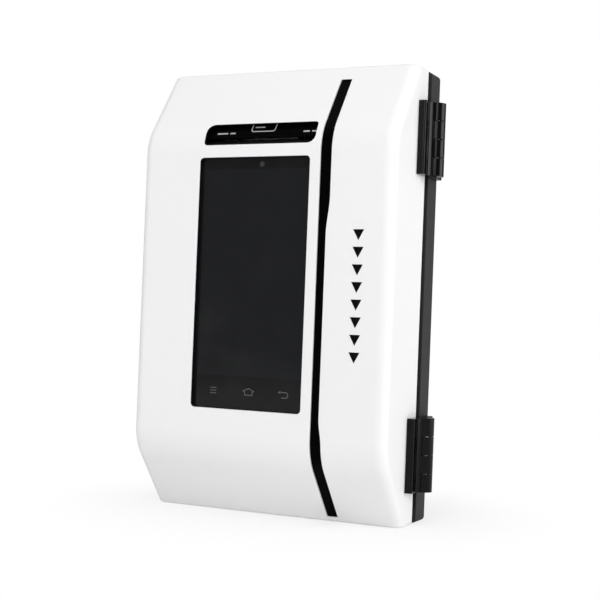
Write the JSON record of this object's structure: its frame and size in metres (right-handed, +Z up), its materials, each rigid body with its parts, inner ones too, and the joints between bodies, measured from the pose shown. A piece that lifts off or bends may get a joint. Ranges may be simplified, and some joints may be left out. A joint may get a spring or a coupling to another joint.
{
  "type": "ticket vending machine",
  "caption": "Wall-mounted ticketing terminal: hinged white cover with bent ends and a screen window over a handheld-style terminal with a receipt printer.",
  "frame": {"origin": "middle of the wall-fixing hole pattern, on the back face of the tray", "axes": "+X to the right seen from the front, +Y out of the back towards the wall, +Z up"},
  "size_m": [0.1772, 0.072, 0.268],
  "materials": {
    "tray": "dark grey, fine texture",
    "seal": "matt black",
    "cover": "white satin moulding",
    "gloss_black": "polished black",
    "smoked": "dark smoked",
    "hinge": "black grained",
    "steel": "plain",
    "zinc": "zinc plated",
    "chrome": "polished",
    "terminal": "black satin",
    "key": "black",
    "panel_glass": "black coated glass",
    "display": "unlit display",
    "board": "green solder mask",
    "chips": "moulded packages",
    "battery": "wrapped cell",
    "speaker": "paper cone in a frame",
    "copper": "etched copper loop",
    "roller": "ground rubber",
    "gear": "natural acetal",
    "brass": "turned",
    "ceramic_head": "glazed heater line",
    "paper": "thermal paper",
    "core": "paper tube",
    "cradle": "black powder coat",
    "foam_rest": "moulded rest",
    "led": "lamp body",
    "psu": "ribbed case",
    "block_green": "screw block",
    "lead": "sheathed lead"
  },
  "bodies": {
    "tray": {"back_tray": "tray", "gasket": "seal", "cable_grommet": "seal", "hinge_leaf_tray_upper": "hinge", "hinge_leaf_tray_lower": "hinge", "hinge_pins": "steel", "hinge_screws_tray": "zinc", "lock_keeper": "steel", "keeper_screw": "zinc", "terminal_front_shell": "terminal", "terminal_rear_shell": "terminal", "touch_glass": "panel_glass", "display_panel": "display", "main_board": "board", "board_chips": "chips", "battery_pack": "battery", "camera_module": "gloss_black", "speaker": "speaker", "printer_lid": "gloss_black", "lid_hinge_pin": "steel", "contactless_antenna": "copper", "printer_frame": "terminal", "feed_motor": "steel", "print_head": "ceramic_head", "tear_bar": "steel", "spool_hubs": "gear", "terminal_cradle": "cradle", "cradle_standoffs": "brass", "cradle_screws": "zinc", "cradle_thumbscrews": "zinc", "upper_rest": "foam_rest", "guide_light_board": "board", "guide_leds": "led", "light_bracket": "cradle", "bracket_screws": "zinc", "power_module": "psu", "terminal_block": "block_green", "terminal_block_screws": "brass", "inner_lead": "lead", "lead_clips": "key"},
    "door": {"front_cover": "cover", "accent_strip": "gloss_black", "arrow_lens": "smoked", "hinge_leaf_cover_upper": "hinge", "hinge_leaf_cover_lower": "hinge", "hinge_screws_cover": "zinc", "lock_barrel": "chrome", "lock_nut": "steel"},
    "lock": {"lock_plug": "chrome", "lock_cam": "steel", "lock_cam_screw": "zinc"},
    "power_button": {"power_key": "key"},
    "volume_button": {"volume_key": "key"},
    "platen": {"platen_shaft": "steel", "platen_roller": "roller", "platen_gear": "gear"},
    "motor": {"motor_pinion": "brass", "motor_shaft": "steel"},
    "paper": {"paper_roll": "paper", "paper_core": "core"}
  },
  "joints": [
    {"name": "door_swing", "type": "hinge", "parent": "tray", "child": "door", "pos_m": [0.088, -0.022, 0], "axis": [0, 0, 1], "range_deg": [0, 110]},
    {"name": "lock_turn", "type": "hinge", "parent": "door", "child": "lock", "pos_m": [-0.082, -0.04, 0], "axis": [1, 0, 0], "range_deg": [0, 90]},
    {"name": "power_press", "type": "slide", "parent": "tray", "child": "power_button", "axis": [-1, 0, 0], "range_m": [0, 0.0008], "stiffness_N_per_m": 1500, "springref_m": -0.0006},
    {"name": "volume_press", "type": "slide", "parent": "tray", "child": "volume_button", "axis": [-1, 0, 0], "range_m": [0, 0.0008], "stiffness_N_per_m": 1500, "springref_m": -0.0006},
    {"name": "platen_spin", "type": "hinge", "parent": "tray", "child": "platen", "pos_m": [0, -0.0612, 0.0848], "axis": [1, 0, 0], "continuous": true},
    {"name": "motor_spin", "type": "hinge", "parent": "tray", "child": "motor", "pos_m": [0, -0.0598, 0.07728], "axis": [1, 0, 0], "continuous": true},
    {"name": "paper_spin", "type": "hinge", "parent": "tray", "child": "paper", "pos_m": [0, -0.0385, 0.08], "axis": [1, 0, 0], "continuous": true}
  ],
  "couplings": [
    {"joint": "motor_spin", "follows": "platen_spin", "ratio": -1.5}
  ]
}
